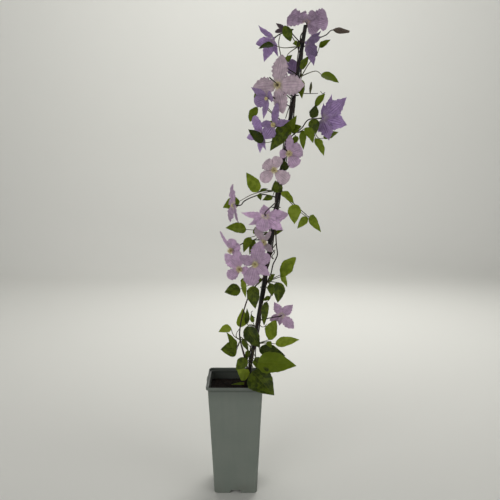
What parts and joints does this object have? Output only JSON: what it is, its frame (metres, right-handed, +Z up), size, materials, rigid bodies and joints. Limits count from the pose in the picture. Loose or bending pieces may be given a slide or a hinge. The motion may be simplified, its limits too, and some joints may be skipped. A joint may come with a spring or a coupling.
{
  "type": "potted clematis",
  "caption": "Lilac-flowered clematis twined up a leaning cane in a tall square nursery pot filled with dark soil.",
  "frame": {"origin": "centre of the pot's underside, on the surface that it stands on", "axes": "+Z up; the viewer of the picture stands on -Y, with +X to the right; the cane leans towards +X"},
  "size_m": [0.2633, 0.1311, 0.9039],
  "materials": {
    "pot": "matte grey-green moulded plastic, slightly lighter at the rim",
    "soil": "dark crumbly peat compost",
    "cane": "nearly black brown stick with faint knots",
    "stem": "dark reddish brown, faintly ribbed",
    "tie": "dark coated wire",
    "sepal": "soft lilac, thin and translucent, with lengthwise ribs and darker veins",
    "stamen": "yellow-olive tuft with pale tips",
    "leaf": "yellow-green to dark green, veined, half matte"
  },
  "bodies": {
    "root": {"pot": "pot", "soil": "soil", "cane": "cane", "stem_left": "stem", "stem_back": "stem", "stem_right": "stem", "tie_lower": "tie", "tie_middle": "tie", "tie_upper": "tie", "flower_01_sepals": "sepal", "flower_01_stamens": "stamen", "flower_02_sepals": "sepal", "flower_02_stamens": "stamen", "flower_03_sepals": "sepal", "flower_04_sepals": "sepal", "flower_04_stamens": "stamen", "flower_05_sepals": "sepal", "flower_05_stamens": "stamen", "flower_06_sepals": "sepal", "flower_06_stamens": "stamen", "flower_07_sepals": "sepal", "flower_07_stamens": "stamen", "flower_08_sepals": "sepal", "flower_08_stamens": "stamen", "flower_09_sepals": "sepal", "flower_09_stamens": "stamen", "flower_10_sepals": "sepal", "flower_10_stamens": "stamen", "flower_11_sepals": "sepal", "flower_11_stamens": "stamen", "flower_12_sepals": "sepal", "flower_12_stamens": "stamen", "flower_13_sepals": "sepal", "flower_13_stamens": "stamen", "flower_14_sepals": "sepal", "flower_14_stamens": "stamen", "flower_15_sepals": "sepal", "flower_15_stamens": "stamen", "flower_16_sepals": "sepal", "flower_16_stamens": "stamen", "flower_17_sepals": "sepal", "flower_17_stamens": "stamen", "flower_18_sepals": "sepal", "flower_18_stamens": "stamen", "flower_19_sepals": "sepal", "leaves_01": "leaf", "leaves_02": "leaf", "leaves_03": "leaf", "leaves_04": "leaf", "leaves_05": "leaf", "leaves_06": "leaf", "leaves_07": "leaf", "leaves_08": "leaf", "leaves_09": "leaf", "leaves_10": "leaf", "leaves_11": "leaf", "leaves_12": "leaf", "leaves_13": "leaf", "leaves_14": "leaf"}
  },
  "joints": []
}
